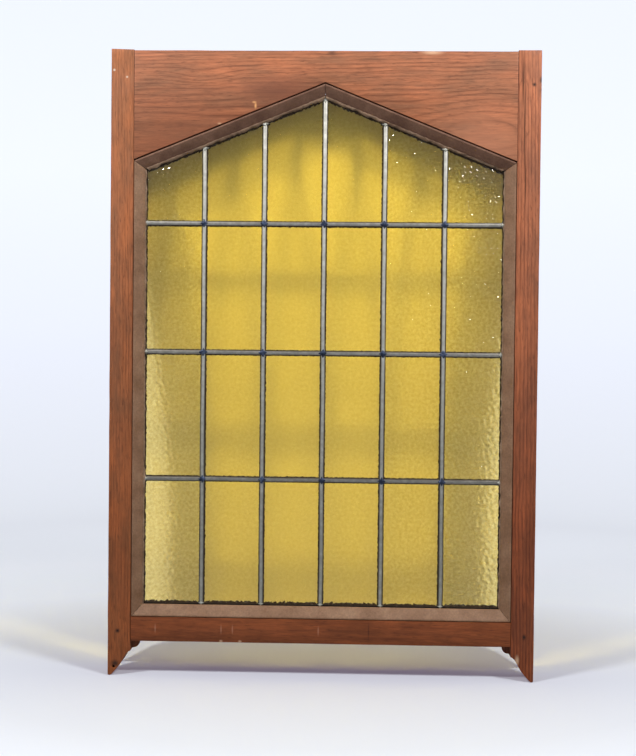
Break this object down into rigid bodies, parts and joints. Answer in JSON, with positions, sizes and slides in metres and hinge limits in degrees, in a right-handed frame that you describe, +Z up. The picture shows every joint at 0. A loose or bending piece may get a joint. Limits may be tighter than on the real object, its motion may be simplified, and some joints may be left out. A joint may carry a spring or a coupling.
{
  "type": "stained glass window sash",
  "caption": "Timber window sash with shaped horns and a gabled opening, glazed with rectangular panes of amber textured glass in lead cames.",
  "frame": {"origin": "on the back face of the top rail, on the centre line, 20 mm below the rail's top edge", "axes": "+X to the right seen from the beaded front, +Y out of the back face, +Z up"},
  "size_m": [0.56, 0.038, 0.8226],
  "materials": {
    "frame_timber": "satin",
    "bead_timber": "satin",
    "lead_came": "satin",
    "amber_glass": "gloss"
  },
  "bodies": {
    "root": {"left_stile": "frame_timber", "right_stile": "frame_timber", "top_rail": "frame_timber", "bottom_rail": "frame_timber", "bead_left": "bead_timber", "bead_right": "bead_timber", "bead_bottom": "bead_timber", "bead_top_left": "bead_timber", "bead_top_right": "bead_timber", "border_came_left": "lead_came", "border_came_right": "lead_came", "border_came_bottom": "lead_came", "border_came_top": "lead_came", "upright_came_1": "lead_came", "upright_came_2": "lead_came", "upright_came_3": "lead_came", "upright_came_4": "lead_came", "upright_came_5": "lead_came", "cross_came_1_1": "lead_came", "cross_came_1_2": "lead_came", "cross_came_1_3": "lead_came", "cross_came_1_4": "lead_came", "cross_came_1_5": "lead_came", "cross_came_1_6": "lead_came", "cross_came_2_1": "lead_came", "cross_came_2_2": "lead_came", "cross_came_2_3": "lead_came", "cross_came_2_4": "lead_came", "cross_came_2_5": "lead_came", "cross_came_2_6": "lead_came", "cross_came_3_1": "lead_came", "cross_came_3_2": "lead_came", "cross_came_3_3": "lead_came", "cross_came_3_4": "lead_came", "cross_came_3_5": "lead_came", "cross_came_3_6": "lead_came", "pane_1_1": "amber_glass", "pane_1_2": "amber_glass", "pane_1_3": "amber_glass", "pane_1_4": "amber_glass", "pane_1_5": "amber_glass", "pane_1_6": "amber_glass", "pane_2_1": "amber_glass", "pane_2_2": "amber_glass", "pane_2_3": "amber_glass", "pane_2_4": "amber_glass", "pane_2_5": "amber_glass", "pane_2_6": "amber_glass", "pane_3_1": "amber_glass", "pane_3_2": "amber_glass", "pane_3_3": "amber_glass", "pane_3_4": "amber_glass", "pane_3_5": "amber_glass", "pane_3_6": "amber_glass", "pane_4_1": "amber_glass", "pane_4_2": "amber_glass", "pane_4_3": "amber_glass", "pane_4_4": "amber_glass", "pane_4_5": "amber_glass", "pane_4_6": "amber_glass"}
  },
  "joints": []
}
